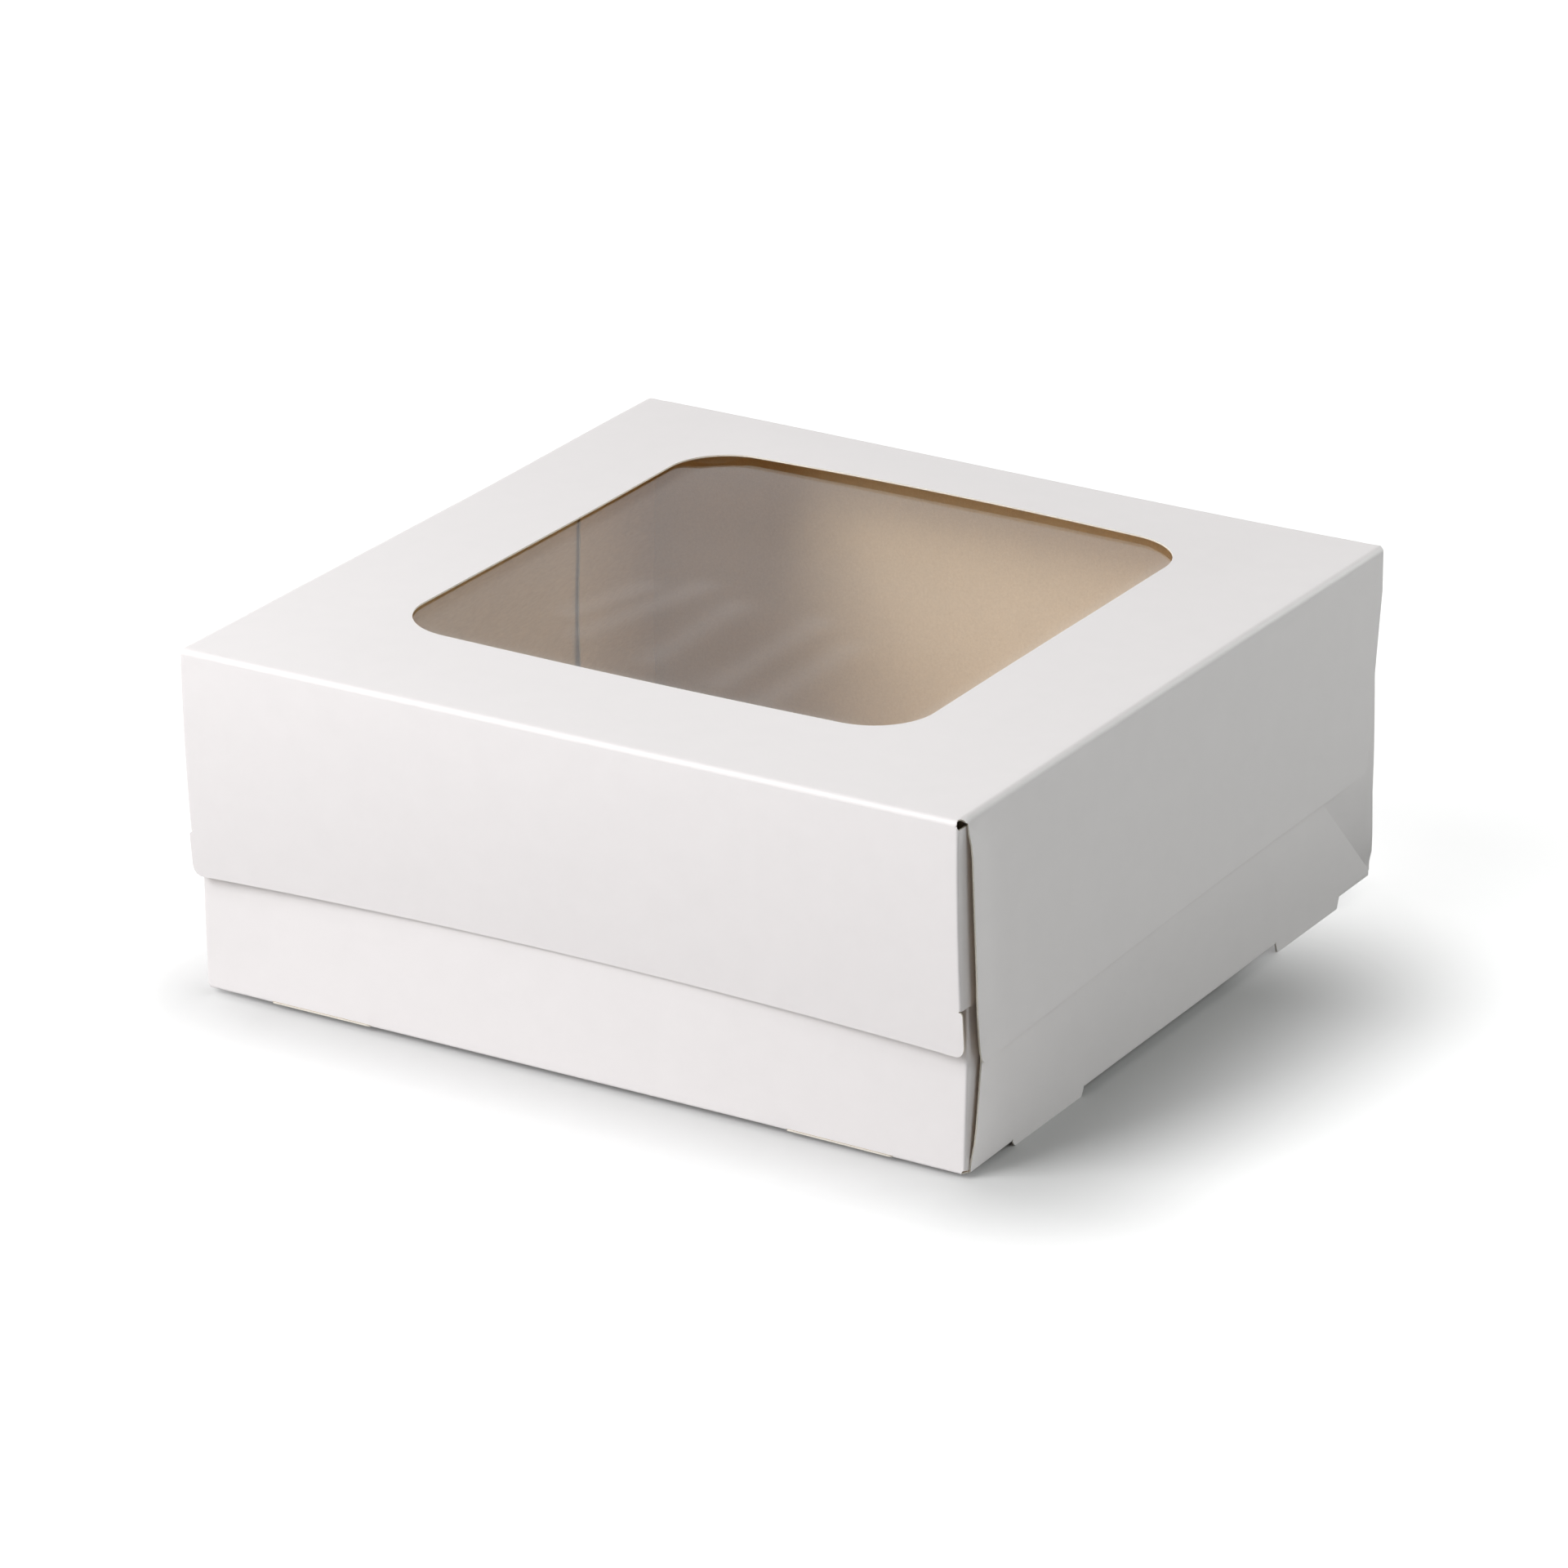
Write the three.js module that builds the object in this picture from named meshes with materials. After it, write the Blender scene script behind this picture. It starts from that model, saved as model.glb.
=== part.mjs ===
// Hinged carton with a windowed lid, folded and glued from one sheet of board.
// Millimetres, +Z up, front of the box towards -Y, origin on the floor under the middle.
import * as THREE from 'three';

// Board and film
const boardThickness = 0.4;
const filmThickness = 0.1;
const glueThickness = 0.1;
const creaseGap = 0.3;

// Tray, measured over its outside faces
const trayWidth = 199.6;
const trayDepth = 196;
const trayWallHeight = 83.7;
const sideWallSetback = 2;
const sideWallBevel = 8;

// Standing lips under the side walls
const lipDepth = 2;
const lipLength = 32.4;
const lipEndTaper = 0.8;
const frontLipInset = 20.6;
const rearLipInset = 17.2;

// Floor tongues that show under the front and rear walls
const tongueInset = 18.3;
const tongueLength = 26.4;
const tongueGap = 0.3;

// Corner tabs of the tray
const trayTabLength = 36;
const trayTabFoot = 14;
const trayTabChamfer = 22;
const trayTabTopBevel = 4;

// Lid, which sits over the tray with its flaps outside the walls
const lidSlideClearance = 0.2;
const lidFrontOverhang = 6;
const lidRestGap = 0.4;
const frontFlapHeight = 56.5;
const frontFlapLean = 3.6;
const frontFlapArch = 1.5;
const sideFlapFrontHeight = 59.6;
const sideFlapRearHeight = 54.7;
const sideFlapSag = 1.6;
const sideFlapFrontTop = 5.9;
const sideFlapFrontFoot = 11.4;
const sideFlapRearTop = 0.8;
const sideFlapRearFoot = 8;
const sideFlapCreaseStart = 2.8;
const sideFlapCornerRadius = 3;

// Corner tabs of the lid
const lidTabLength = 34;
const lidTabHeight = 52;
const lidTabTopFoot = 12;

// Window and its film
const windowLeftMargin = 31;
const windowRightMargin = 36.2;
const windowFrontMargin = 38;
const windowRearMargin = 25.8;
const windowRadius = 15;
const filmOverlap = 10;
const glueLineInset = 2;
const glueLineWidth = 6;

// Glue patches on the corner tabs keep this distance from every edge and crease
const gluePatchMargin = 5;

// How finely the curved edges are divided
const arcSegments = 10;
const frontFlapSlices = 16;
const sideFlapSlices = 10;
const flapGussetSlices = 5;

// Places that follow from the sizes above
const floorUnder = lipDepth;
const floorTop = floorUnder + boardThickness;
const wallTop = floorUnder + trayWallHeight;
const lidUnder = wallTop + lidRestGap;
const lidTop = lidUnder + boardThickness;
const lidDepth = trayDepth + lidFrontOverhang;
const rear = lidDepth / 2;
const lidFront = -lidDepth / 2;
const trayFront = rear - trayDepth;
const trayHalf = trayWidth / 2;
const trayInner = trayHalf - boardThickness;
const trayTabOuter = trayInner - glueThickness;
const lidTabInner = trayHalf + lidSlideClearance;
const lidTabOuter = lidTabInner + boardThickness;
const sideFlapInner = lidTabOuter + glueThickness;
const lidHalf = sideFlapInner + boardThickness;

// Surfaces: coated white outside, unbleached inside, clear film, set glue
const whiteBoard = new THREE.MeshStandardMaterial({ color: 0xece9e7, roughness: 0.62, metalness: 0 });
const kraftBoard = new THREE.MeshStandardMaterial({ color: 0xb39b7c, roughness: 0.85, metalness: 0 });
const clearFilm = new THREE.MeshStandardMaterial({
  color: 0xf4f6f5,
  roughness: 0.08,
  metalness: 0,
  transparent: true,
  opacity: 0.25,
});
const setGlue = new THREE.MeshStandardMaterial({ color: 0xe6dfcf, roughness: 0.4, metalness: 0 });

const box = new THREE.Group();

function shapeOf(points) {
  return new THREE.Shape(points.map(([u, v]) => new THREE.Vector2(u, v)));
}

function addPiece(name, geometry, material) {
  const mesh = new THREE.Mesh(geometry, material);
  mesh.name = name;
  box.add(mesh);
  return mesh;
}

function sheetGeometry(shape, thickness) {
  return new THREE.ExtrudeGeometry(shape, {
    depth: thickness,
    bevelEnabled: false,
    curveSegments: arcSegments,
  });
}

// A sheet lying flat: outline in X and Y, thickness up from its underside
function flatSheet(name, shape, under, thickness, material) {
  const mesh = addPiece(name, sheetGeometry(shape, thickness), material);
  mesh.position.z = under;
}

// A board across the box: outline in X and Z, its back face at the given Y
function crossBoard(name, shape, back) {
  const mesh = addPiece(name, sheetGeometry(shape, boardThickness), whiteBoard);
  mesh.rotation.x = Math.PI / 2;
  mesh.position.y = back;
}

// A sheet along one side of the box: outline in Y and Z, faces at two distances from the middle
function sideSheet(name, shape, side, inner, outer, material) {
  const mesh = addPiece(name, sheetGeometry(shape, outer - inner), material);
  mesh.rotation.set(Math.PI / 2, Math.PI / 2, 0);
  mesh.position.x = side > 0 ? inner : -outer;
}

// A 45 degree crease splits a side panel into its main part and a gusset. The free end edge of the gusset
// is a sloping line: its distance from the corner is its setback plus its rate times the reach from the fold.
// The crease starts at its own distance from the corner.
const diagonalHalfGap = creaseGap / Math.SQRT2;

function endEdge(end, reach) {
  return end.setback + end.rate * reach;
}

// Where the end edge meets the crease, or a line beside the crease that is moved along by a shift
function creaseMeets(end, shift) {
  const reach = (end.setback - end.creaseStart - shift) / (1 - end.rate);
  return [endEdge(end, reach), reach];
}

// Glue between a gusset and the tab behind it, bounded by the tab's length and depth
function gluePatchOutline(at, end, tabLength, tabReach) {
  const margin = gluePatchMargin;
  const [startDistance, startReach] = creaseMeets(end, -2 * margin);
  const far = tabLength - margin;
  const last = tabReach - margin;
  return shapeOf([
    at(startDistance + margin, startReach),
    at(far, far - end.creaseStart + margin),
    at(far, last),
    at(endEdge(end, last) + margin, last),
  ]);
}

// Floor of the tray, with tongues that run out under the front and rear walls
function floorOutline() {
  const front = trayFront + boardThickness;
  const back = rear - boardThickness;
  const outerX = trayInner - tongueInset;
  const innerX = outerX - tongueLength;
  return shapeOf([
    [-trayInner, front],
    [-outerX, front],
    [-outerX, trayFront],
    [-innerX, trayFront],
    [-innerX, front],
    [innerX, front],
    [innerX, trayFront],
    [outerX, trayFront],
    [outerX, front],
    [trayInner, front],
    [trayInner, back],
    [outerX, back],
    [outerX, rear],
    [innerX, rear],
    [innerX, back],
    [-innerX, back],
    [-innerX, rear],
    [-outerX, rear],
    [-outerX, back],
    [-trayInner, back],
  ]);
}

// Front or rear wall of the tray, cut away over the floor tongues
function endWallOutline(top) {
  const low = floorUnder;
  const cut = floorTop + tongueGap;
  const outerX = trayInner - tongueInset + tongueGap;
  const innerX = outerX - tongueLength - 2 * tongueGap;
  return shapeOf([
    [-trayTabOuter, low],
    [-outerX, low],
    [-outerX, cut],
    [-innerX, cut],
    [-innerX, low],
    [innerX, low],
    [innerX, cut],
    [outerX, cut],
    [outerX, low],
    [trayTabOuter, low],
    [trayTabOuter, top],
    [-trayTabOuter, top],
  ]);
}

// Points of a side wall are given by the distance from a corner and the height above the fold
const corner = {
  front: (distance, height) => [trayFront + distance, floorUnder + height],
  rear: (distance, height) => [rear - distance, floorUnder + height],
};
const trayEnd = {
  setback: sideWallSetback,
  rate: Math.tan(THREE.MathUtils.degToRad(sideWallBevel)),
  creaseStart: 0,
};

// Side wall between its two 45 degree creases, with the two standing lips on its lower edge
function sideWallOutline() {
  const frontLip = [frontLipInset, frontLipInset + lipLength];
  const rearLip = [rearLipInset, rearLipInset + lipLength];
  const meet = creaseMeets(trayEnd, diagonalHalfGap);
  const topRun = trayWallHeight + diagonalHalfGap;
  return shapeOf([
    corner.front(sideWallSetback, 0),
    corner.front(frontLip[0], 0),
    corner.front(frontLip[0] + lipEndTaper, -lipDepth),
    corner.front(frontLip[1] - lipEndTaper, -lipDepth),
    corner.front(frontLip[1], 0),
    corner.rear(rearLip[1], 0),
    corner.rear(rearLip[1] - lipEndTaper, -lipDepth),
    corner.rear(rearLip[0] + lipEndTaper, -lipDepth),
    corner.rear(rearLip[0], 0),
    corner.rear(sideWallSetback, 0),
    corner.rear(...meet),
    corner.rear(topRun, trayWallHeight),
    corner.front(topRun, trayWallHeight),
    corner.front(...meet),
  ]);
}

// Triangle of a side wall between its bevelled end and the 45 degree crease
function gussetOutline(at) {
  const meet = creaseMeets(trayEnd, -diagonalHalfGap);
  const topRun = trayWallHeight - diagonalHalfGap;
  return shapeOf([
    at(...meet),
    at(topRun, trayWallHeight),
    at(endEdge(trayEnd, trayWallHeight), trayWallHeight),
  ]);
}

// Tab of a front or rear wall, folded round the corner inside the side wall
function trayTabOutline(at) {
  const fold = boardThickness + creaseGap;
  return shapeOf([
    at(boardThickness, fold),
    at(trayTabFoot, fold),
    at(trayTabLength, trayTabChamfer),
    at(trayTabLength, trayWallHeight - trayTabTopBevel),
    at(trayTabLength - trayTabTopBevel, trayWallHeight),
    at(boardThickness, trayWallHeight),
  ]);
}

// Points of a lid flap are given by the distance from the front or rear crease and the depth below the top
const lidPoint = {
  front: (distance, depth) => [lidFront + distance, lidTop - depth],
  rear: (distance, depth) => [rear - distance, lidTop - depth],
};
const lidEnd = {
  setback: sideFlapFrontTop,
  rate: (sideFlapFrontFoot - sideFlapFrontTop) / sideFlapFrontHeight,
  creaseStart: sideFlapCreaseStart,
};

const flapLeanRate = frontFlapLean / (frontFlapHeight - boardThickness);

function frontFlapFace(depth) {
  return flapLeanRate * (depth - boardThickness);
}

// The front flap hangs from the front crease and leans back towards the tray. Its lower edge is arched,
// so it is made as slices across the box, each a rectangle of four corners that the next slice shares.
function frontFlapGeometry() {
  const half = lidTabOuter;
  const positions = [];
  const indices = [];
  for (let i = 0; i <= frontFlapSlices; i += 1) {
    const x = -half + (2 * half * i) / frontFlapSlices;
    const low = frontFlapHeight - frontFlapArch * (1 - (x / half) ** 2);
    const corners = [
      [0, boardThickness],
      [0, low],
      [boardThickness, low],
      [boardThickness, boardThickness],
    ];
    for (const [back, depth] of corners) {
      const [y, z] = lidPoint.front(frontFlapFace(depth) + back, depth);
      positions.push(x, y, z);
    }
  }
  for (let i = 0; i < frontFlapSlices; i += 1) {
    for (let k = 0; k < 4; k += 1) {
      const a = 4 * i + k;
      const b = 4 * i + ((k + 1) % 4);
      indices.push(a, b, b + 4, a, b + 4, a + 4);
    }
  }
  const last = 4 * frontFlapSlices;
  indices.push(0, 2, 1, 0, 3, 2);
  indices.push(last, last + 1, last + 2, last, last + 2, last + 3);
  const geometry = new THREE.BufferGeometry();
  geometry.setAttribute('position', new THREE.Float32BufferAttribute(positions, 3));
  geometry.setIndex(indices);
  geometry.computeVertexNormals();
  return geometry;
}

// Lower edge of a side flap: a shallow curve from its front corner to its rear corner
const sideFlapFrontLow = lidPoint.front(sideFlapFrontFoot, sideFlapFrontHeight);
const sideFlapRearLow = lidPoint.rear(sideFlapRearFoot, sideFlapRearHeight);
const sideFlapEdge = new THREE.QuadraticBezierCurve(
  new THREE.Vector2(...sideFlapFrontLow),
  new THREE.Vector2(
    (sideFlapFrontLow[0] + sideFlapRearLow[0]) / 2,
    (sideFlapFrontLow[1] + sideFlapRearLow[1]) / 2 + 2 * sideFlapSag,
  ),
  new THREE.Vector2(...sideFlapRearLow),
);

// Share of the lower edge at which the 45 degree crease of the lid reaches it, found by halving
function creaseShare(shift) {
  const halvings = 40;
  let low = 0;
  let high = 1;
  for (let i = 0; i < halvings; i += 1) {
    const middle = (low + high) / 2;
    const point = sideFlapEdge.getPoint(middle);
    const alongCrease = lidFront + sideFlapCreaseStart + shift + (lidTop - point.y);
    if (point.x < alongCrease) {
      low = middle;
    } else {
      high = middle;
    }
  }
  return (low + high) / 2;
}

function flapEdgePoint(share) {
  const point = sideFlapEdge.getPoint(share);
  return [point.x, point.y];
}

function flapEdgePoints(from, to, steps) {
  return Array.from({ length: steps + 1 }, (_, i) => flapEdgePoint(from + ((to - from) * i) / steps));
}

// Side flap of the lid behind its 45 degree crease
function sideFlapOutline() {
  return shapeOf([
    lidPoint.front(endEdge(lidEnd, boardThickness), boardThickness),
    lidPoint.front(...creaseMeets(lidEnd, diagonalHalfGap)),
    ...flapEdgePoints(creaseShare(diagonalHalfGap), 1, sideFlapSlices),
    lidPoint.rear(sideFlapRearTop, boardThickness),
  ]);
}

// Front part of a side flap below its crease, with a rounded lower corner
function flapGussetOutline() {
  const cornerDepth = sideFlapFrontHeight - sideFlapCornerRadius;
  const cornerShare = sideFlapCornerRadius / (sideFlapRearLow[0] - sideFlapFrontLow[0]);
  const shape = new THREE.Shape();
  shape.moveTo(...lidPoint.front(...creaseMeets(lidEnd, -diagonalHalfGap)));
  shape.lineTo(...lidPoint.front(endEdge(lidEnd, cornerDepth), cornerDepth));
  shape.quadraticCurveTo(...sideFlapFrontLow, ...flapEdgePoint(cornerShare));
  const lowerEdge = flapEdgePoints(cornerShare, creaseShare(-diagonalHalfGap), flapGussetSlices);
  for (const point of lowerEdge.slice(1)) {
    shape.lineTo(...point);
  }
  return shape;
}

// Tab of the lid's front flap, with its upper edge cut at 45 degrees
function lidTabOutline() {
  const fold = boardThickness + creaseGap;
  return shapeOf([
    lidPoint.front(frontFlapFace(fold) + fold, fold),
    lidPoint.front(frontFlapFace(lidTabHeight) + fold, lidTabHeight),
    lidPoint.front(lidTabLength, lidTabHeight),
    lidPoint.front(lidTabLength, lidTabLength - lidTabTopFoot + fold),
    lidPoint.front(lidTabTopFoot, fold),
  ]);
}

function roundedRectangle(x0, x1, y0, y1, radius) {
  const shape = new THREE.Shape();
  shape.moveTo(x0 + radius, y0);
  shape.lineTo(x1 - radius, y0);
  shape.absarc(x1 - radius, y0 + radius, radius, -Math.PI / 2, 0);
  shape.lineTo(x1, y1 - radius);
  shape.absarc(x1 - radius, y1 - radius, radius, 0, Math.PI / 2);
  shape.lineTo(x0 + radius, y1);
  shape.absarc(x0 + radius, y1 - radius, radius, Math.PI / 2, Math.PI);
  shape.lineTo(x0, y0 + radius);
  shape.absarc(x0 + radius, y0 + radius, radius, Math.PI, 1.5 * Math.PI);
  return shape;
}

// The window opening grown by a margin on every side
function windowShape(margin) {
  return roundedRectangle(
    -lidHalf + windowLeftMargin - margin,
    lidHalf - windowRightMargin + margin,
    lidFront + windowFrontMargin - margin,
    rear - windowRearMargin + margin,
    windowRadius + margin,
  );
}

function lidPanelShape() {
  const shape = shapeOf([[-lidHalf, lidFront], [lidHalf, lidFront], [lidHalf, rear], [-lidHalf, rear]]);
  shape.holes.push(windowShape(0));
  return shape;
}

function glueLineShape() {
  const shape = windowShape(glueLineInset + glueLineWidth);
  shape.holes.push(windowShape(glueLineInset));
  return shape;
}

flatSheet('floor_panel', floorOutline(), floorUnder, boardThickness, kraftBoard);
crossBoard('front_wall', endWallOutline(wallTop), trayFront + boardThickness);
crossBoard('rear_wall', endWallOutline(lidUnder), rear);

for (const [sideName, side] of [['left', -1], ['right', 1]]) {
  sideSheet(`${sideName}_wall`, sideWallOutline(), side, trayInner, trayHalf, whiteBoard);
  for (const end of ['front', 'rear']) {
    const at = corner[end];
    const gusset = gussetOutline(at);
    sideSheet(`${sideName}_${end}_gusset`, gusset, side, trayInner, trayHalf, whiteBoard);
    const glue = gluePatchOutline(at, trayEnd, trayTabLength, trayWallHeight - trayTabTopBevel);
    sideSheet(`${sideName}_${end}_glue`, glue, side, trayTabOuter, trayInner, setGlue);
    const tab = trayTabOutline(at);
    sideSheet(`${sideName}_${end}_tab`, tab, side, trayTabOuter - boardThickness, trayTabOuter, kraftBoard);
  }
}

flatSheet('lid_panel', lidPanelShape(), lidUnder, boardThickness, whiteBoard);
addPiece('lid_front_flap', frontFlapGeometry(), whiteBoard);

for (const [sideName, side] of [['left', -1], ['right', 1]]) {
  sideSheet(`lid_${sideName}_flap`, sideFlapOutline(), side, sideFlapInner, lidHalf, whiteBoard);
  sideSheet(`lid_${sideName}_gusset`, flapGussetOutline(), side, sideFlapInner, lidHalf, whiteBoard);
  const glue = gluePatchOutline(lidPoint.front, lidEnd, lidTabLength, lidTabHeight);
  sideSheet(`lid_${sideName}_glue`, glue, side, lidTabOuter, sideFlapInner, setGlue);
  sideSheet(`lid_${sideName}_tab`, lidTabOutline(), side, lidTabInner, lidTabOuter, whiteBoard);
}

flatSheet('window_glue', glueLineShape(), lidUnder - glueThickness, glueThickness, setGlue);
const filmUnder = lidUnder - glueThickness - filmThickness;
flatSheet('window_film', windowShape(filmOverlap), filmUnder, filmThickness, clearFilm);

export default box;
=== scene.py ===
import math

import bmesh
import bpy
from mathutils import Matrix, Vector
from mathutils.geometry import delaunay_2d_cdt


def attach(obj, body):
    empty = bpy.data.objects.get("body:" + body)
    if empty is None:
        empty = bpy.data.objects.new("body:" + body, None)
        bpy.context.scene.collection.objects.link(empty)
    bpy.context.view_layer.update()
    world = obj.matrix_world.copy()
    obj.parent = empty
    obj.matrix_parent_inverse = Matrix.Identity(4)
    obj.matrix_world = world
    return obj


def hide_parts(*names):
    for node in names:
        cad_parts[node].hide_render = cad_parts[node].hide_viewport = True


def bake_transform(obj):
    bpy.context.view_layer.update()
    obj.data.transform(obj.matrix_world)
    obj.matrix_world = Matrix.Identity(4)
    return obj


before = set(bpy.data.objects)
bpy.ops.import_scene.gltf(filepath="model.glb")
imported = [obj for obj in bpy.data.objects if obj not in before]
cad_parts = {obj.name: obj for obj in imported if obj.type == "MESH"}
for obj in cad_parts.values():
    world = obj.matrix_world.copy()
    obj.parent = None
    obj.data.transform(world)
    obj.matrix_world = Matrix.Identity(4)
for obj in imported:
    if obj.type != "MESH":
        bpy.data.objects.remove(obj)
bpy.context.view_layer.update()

# Board, glue and film
BOARD = 0.4
GLUE = 0.1
FILM = 0.1

# Tray, outside faces
TRAY_HALF = 99.8
TRAY_FRONT = -95.0
REAR = 101.0
FLOOR_UNDER = 2.0
WALL_TOP = 85.7
WALL_SETBACK = 1.7
WALL_BEVEL = 0.09
LIP_TAPER = 0.8
FRONT_LIP = (-74.4, -42.0)
REAR_LIP = (51.4, 83.8)
TONGUE = (54.7, 81.1)
TONGUE_GAP = 0.3
TAB_OUTER = 99.3
TAB_LENGTH = 36.0
TAB_FOOT = 14.0
TAB_CHAMFER = 22.0
TAB_BEVEL = 4.0

# Lid, outside faces
LID_HALF = 101.3
LID_TOP = 86.5
LID_FRONT = -101.0
LID_TAB_OUTER = 100.8
LID_TAB_LENGTH = 34.0
LID_TAB_DEPTH = 45.0
LID_TAB_TOP = 2.3
FRONT_FLAP_DEPTH = 56.5
FRONT_FLAP_ARCH = 1.5
SIDE_FLAP_FRONT_DEPTH = 59.6
SIDE_FLAP_REAR_DEPTH = 54.7
SIDE_FLAP_SAG = 1.6
SIDE_FLAP_SETBACK = 3.4
SIDE_FLAP_BEVEL = 0.06
SIDE_FLAP_REAR_FOOT = 8.0
FLAP_CREASE_START = 1.9
SIDE_FOLD_FRONT = -98.4
SIDE_FOLD_REAR = 100.2

# Window, its film and its glue line
WINDOW = (-69.9, 64.7, -63.0, 75.2)
WINDOW_RADIUS = 15.0
FILM_OVERLAP = 10.0
GLUE_LINE = (2.0, 8.0)

# Outer radius of the folds
LID_FOLD = 1.4
REAR_FOLD = 1.2
WALL_FOLD = 0.6

# Relief hole at the lid's front corners: how far each point lies past the flat top, and its place in y
RELIEF_HOLE = ((0.6, -101.2), (0.35, -100.6), (0.3, -100.1), (0.55, -99.4), (1.0, -98.9), (1.5, -98.5))

# How far a glue patch stays off the edges round it
GLUE_MARGIN = 5.0

# How finely the sheets are cut: rows in a fold, the step along a crease, how near to a crease or a border
# an inner point may lie, and twice the area in square millimetres under which a face is a sliver
FOLD_ROWS = 6
CREASE_STEP = 1.6
CREASE_CLEAR = 0.8
BORDER_CLEAR = 0.06
SLIVER = 5e-4

# Painted shadow patch: round the box, shifted to the front and right where its shadow falls, the camera sees
# the floor in its own grey tone, which deepens the shadow that the lamps cast there; it fades to white round
# this rectangle, in metres
SHADOW_PATCH_CENTRE = (0.014, -0.0275, 0.0)
SHADOW_PATCH_HALF = (0.09, 0.0525, 0.1)


# Plain sums

def smooth(low, high, value):
    """A soft step from 0 at low to 1 at high."""
    t = min(1.0, max(0.0, (value - low) / (high - low)))
    return t * t * (3 - 2 * t)


def between(a, b, share):
    return a + (b - a) * share


def even(low, high, step):
    """Even places from low to high, at most a step apart."""
    count = max(1, math.ceil((high - low) / step - 1e-6))
    return [between(low, high, i / count) for i in range(count + 1)]


def folded(reach, inward, radius):
    """A sheet that bends a quarter turn: how far it runs on, and how far it turns aside.

    The reach is measured along the outer face from where the bend starts."""
    quarter = radius * math.pi / 2
    if reach <= 0:
        return reach, inward
    if reach < quarter:
        turn = reach / radius
        return (radius - inward) * math.sin(turn), radius - (radius - inward) * math.cos(turn)
    return radius - inward, radius + reach - quarter


def quarter_turn(radius):
    return radius * math.pi / 2


# Sheets: a flat outline, cut into small faces, then folded and bowed into place

def inside(point, loop):
    """True if the point lies in the loop."""
    u, v = point
    found = False
    for (au, av), (bu, bv) in zip(loop, loop[1:] + loop[:1]):
        if (av > v) != (bv > v) and u < au + (bu - au) * (v - av) / (bv - av):
            found = not found
    return found


def line_distance(point, a, b):
    """Distance from a point to the stretch from a to b."""
    du, dv = b[0] - a[0], b[1] - a[1]
    length = du * du + dv * dv
    t = 0.0 if length == 0 else ((point[0] - a[0]) * du + (point[1] - a[1]) * dv) / length
    t = min(1.0, max(0.0, t))
    return math.dist(point, (a[0] + du * t, a[1] + dv * t))


def along_crease(a, b, creases):
    return any(max(line_distance(a, *crease), line_distance(b, *crease)) < 0.01 for crease in creases)


def cut_loop(loop, columns, rows, creases, least=0.04):
    """The loop with a point wherever it crosses a column or a row, and evenly spaced ones along a crease,
    so that the sheets on both sides of the crease share them."""
    result = []
    for a, b in zip(loop, loop[1:] + loop[:1]):
        length = math.dist(a, b)
        shares = {0.0}
        if along_crease(a, b, creases):
            shares |= set(even(0.0, 1.0, CREASE_STEP / length))
        else:
            for axis, lines in ((0, columns), (1, rows)):
                run = b[axis] - a[axis]
                if abs(run) > 1e-9:
                    shares |= {(line - a[axis]) / run for line in lines}
        last = 0.0
        result.append(a)
        for share in sorted(shares):
            if share * length > last + least and share * length < length - least:
                result.append((between(a[0], b[0], share), between(a[1], b[1], share)))
                last = share * length
    return result


def sheet(name, outline, place, columns, rows, thickness=BOARD, holes=(), creases=()):
    """A closed sheet. place(u, v, inward) gives the millimetres of each point of the flat outline.

    Its faces are numbered 0 outside, 1 inside and 2 for the cut edge."""
    loops = [cut_loop(list(loop), columns, rows, creases) for loop in (outline, *holes)]
    points = []
    edges = []
    for loop in loops:
        first = len(points)
        points += loop
        edges += [(first + i, first + (i + 1) % len(loop)) for i in range(len(loop))]
    border = [(points[i], points[k]) for i, k in edges]
    cells = [(u, v) for u in columns for v in rows]
    for crease in creases:
        cells = [p for p in cells if line_distance(p, *crease) > CREASE_CLEAR]

    def in_sheet(point):
        return inside(point, loops[0]) and not any(inside(point, hole) for hole in loops[1:])

    points += [p for p in cells
               if in_sheet(p) and all(line_distance(p, a, b) > BORDER_CLEAR for a, b in border)]
    flat, _, faces, *_ = delaunay_2d_cdt([Vector(p) for p in points], edges, [], 0, 1e-5)
    faces = [f for f in faces if in_sheet(tuple(sum((flat[i] for i in f), Vector((0, 0))) / len(f)))]
    # Slivers along a straight border would spoil the shading of the faces beside them
    faces = [f for f in faces if abs((flat[f[1]] - flat[f[0]]).cross(flat[f[2]] - flat[f[0]])) > SLIVER]

    mesh = bmesh.new()
    outer = [mesh.verts.new(Vector(place(p.x, p.y, 0.0)) / 1000) for p in flat]
    inner = [mesh.verts.new(Vector(place(p.x, p.y, thickness)) / 1000) for p in flat]
    for face in faces:
        mesh.faces.new([outer[i] for i in face]).material_index = 0
        mesh.faces.new([inner[i] for i in reversed(face)]).material_index = 1
    sides = [(a, b) for face in faces for a, b in zip(face, face[1:] + face[:1])]
    known = set(sides)
    for a, b in sides:
        if (b, a) not in known:
            rim = mesh.faces.new([outer[b], outer[a], inner[a], inner[b]])
            rim.material_index = 2
    for vertex in [v for v in mesh.verts if not v.link_faces]:
        mesh.verts.remove(vertex)
    if mesh.calc_volume(signed=True) < 0:
        bmesh.ops.reverse_faces(mesh, faces=mesh.faces)
    for face in mesh.faces:
        face.smooth = True
    for edge in mesh.edges:
        edge.smooth = len({f.material_index == 2 for f in edge.link_faces}) == 1
    data = bpy.data.meshes.new(name)
    mesh.to_mesh(data)
    mesh.free()
    piece = bpy.data.objects.new(name, data)
    bpy.context.scene.collection.objects.link(piece)
    return piece


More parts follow.
